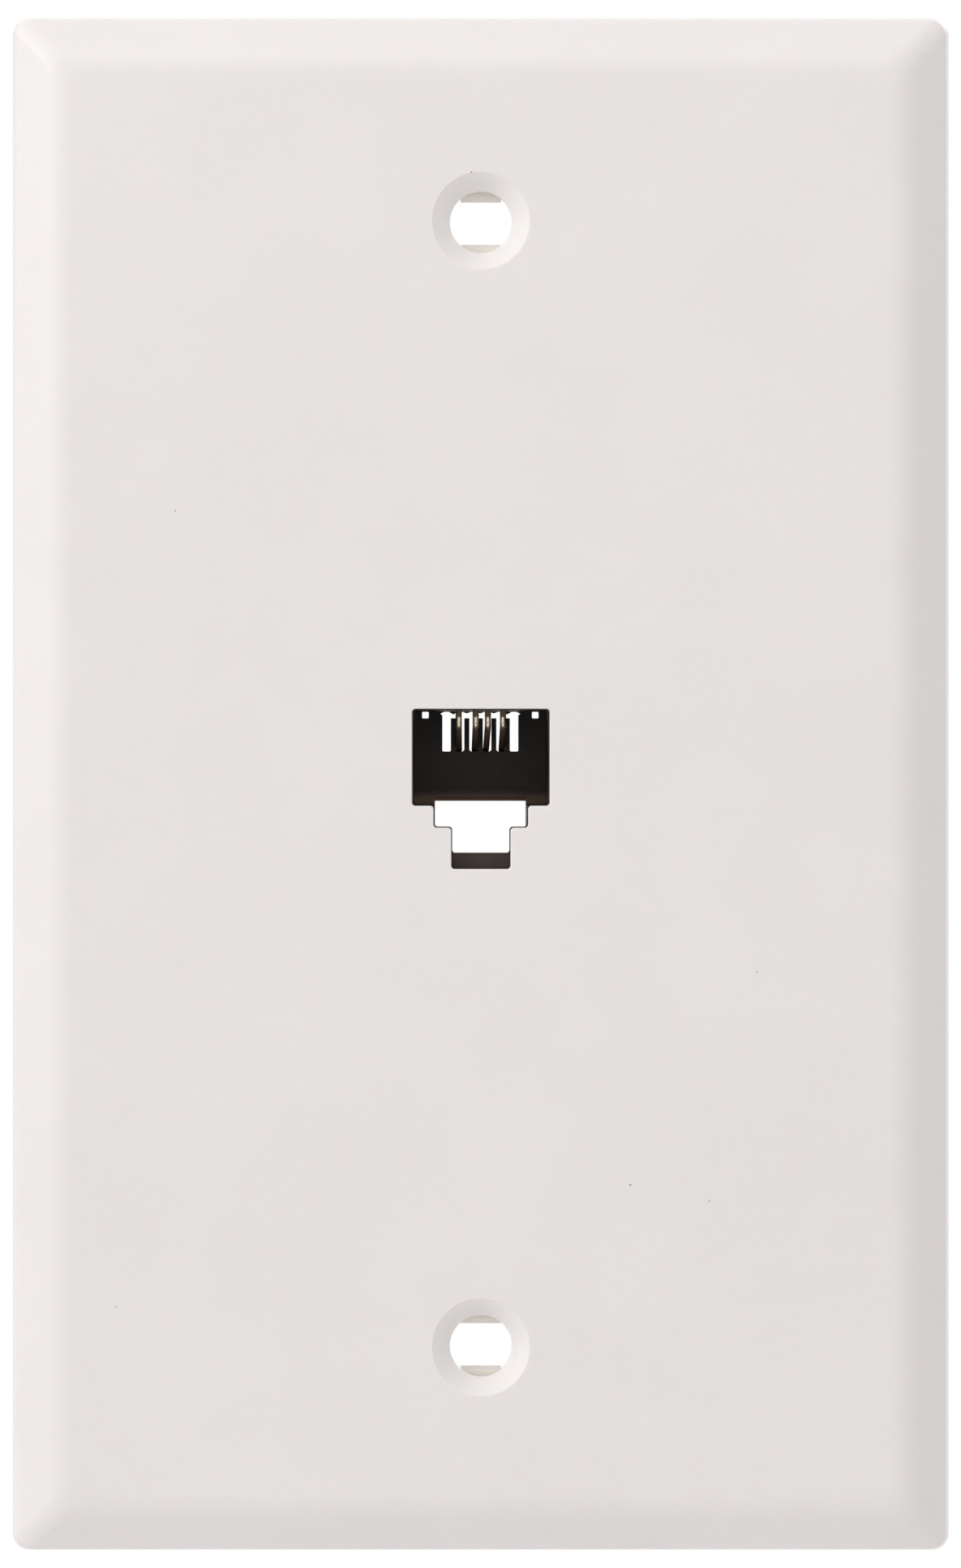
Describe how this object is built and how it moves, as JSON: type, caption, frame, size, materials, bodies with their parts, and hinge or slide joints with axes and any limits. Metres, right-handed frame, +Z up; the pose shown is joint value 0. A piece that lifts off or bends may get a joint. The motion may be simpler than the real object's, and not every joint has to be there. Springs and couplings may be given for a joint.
{
  "type": "telephone wall socket",
  "caption": "Flush telephone wall socket: white bevelled wall plate with a modular plug jack, spring contact wires and screw terminals behind.",
  "frame": {"origin": "middle of the plate's back plane, which seats on the wall", "axes": "+Z up along the plate's long side, -Y out of the plate's front face, +X to the right seen from the front"},
  "size_m": [0.0698, 0.0197, 0.1142],
  "materials": {
    "white_abs": "fine satin moulded ABS, a little translucent at thin edges",
    "black_nylon": "satin moulded nylon",
    "gold_plate": "gold-plated spring wire",
    "brass": "plain turned and stamped brass",
    "tinned_brass": "tinned stamped brass",
    "insulation_black": "satin vinyl",
    "insulation_red": "satin vinyl",
    "insulation_green": "satin vinyl",
    "insulation_yellow": "satin vinyl"
  },
  "bodies": {
    "root": {"wall_plate": "white_abs", "jack_body": "black_nylon", "contact_retainer": "black_nylon", "contact_wire_2": "gold_plate", "crimp_sleeve_2": "tinned_brass", "contact_wire_3": "gold_plate", "crimp_sleeve_3": "tinned_brass", "contact_wire_4": "gold_plate", "crimp_sleeve_4": "tinned_brass", "contact_wire_5": "gold_plate", "crimp_sleeve_5": "tinned_brass", "lead_black": "insulation_black", "spade_lug_black": "tinned_brass", "washer_lower_black": "brass", "washer_upper_black": "brass", "terminal_screw_black": "brass", "lead_red": "insulation_red", "spade_lug_red": "tinned_brass", "washer_lower_red": "brass", "washer_upper_red": "brass", "terminal_screw_red": "brass", "lead_green": "insulation_green", "spade_lug_green": "tinned_brass", "washer_lower_green": "brass", "washer_upper_green": "brass", "terminal_screw_green": "brass", "lead_yellow": "insulation_yellow", "spade_lug_yellow": "tinned_brass", "washer_lower_yellow": "brass", "washer_upper_yellow": "brass", "terminal_screw_yellow": "brass"}
  },
  "joints": []
}
